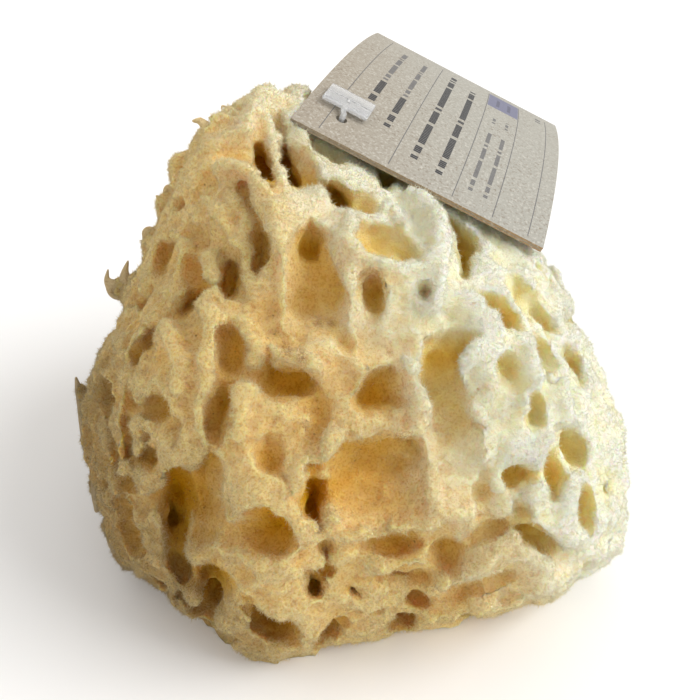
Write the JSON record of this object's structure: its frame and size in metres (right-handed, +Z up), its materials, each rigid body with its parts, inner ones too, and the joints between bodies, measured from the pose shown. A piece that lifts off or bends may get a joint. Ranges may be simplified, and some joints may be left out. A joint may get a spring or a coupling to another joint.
{
  "type": "natural sea sponge with card tag",
  "caption": "Natural honeycomb sea sponge, a pale uneven dome full of deep pores, cut flat underneath, with a blank-lettered card tag pinned on top by a clear fastener.",
  "frame": {"origin": "middle of the whole object's bounding box, at the level of the flat cut that the sponge rests on", "axes": "+Z up out of the flat cut; -Y towards the side that the picture shows; +X to the right as seen from there"},
  "size_m": [0.1312, 0.1472, 0.1069],
  "materials": {
    "sponge": "matt, soft and fibrous, pale cream on the ridges and honey brown in the pores",
    "card_board": "matt speckled kraft board",
    "clear_nylon": "clear, slightly milky"
  },
  "bodies": {
    "root": {"sponge": "sponge", "card_tag": "card_board", "tag_fastener": "clear_nylon"}
  },
  "joints": []
}
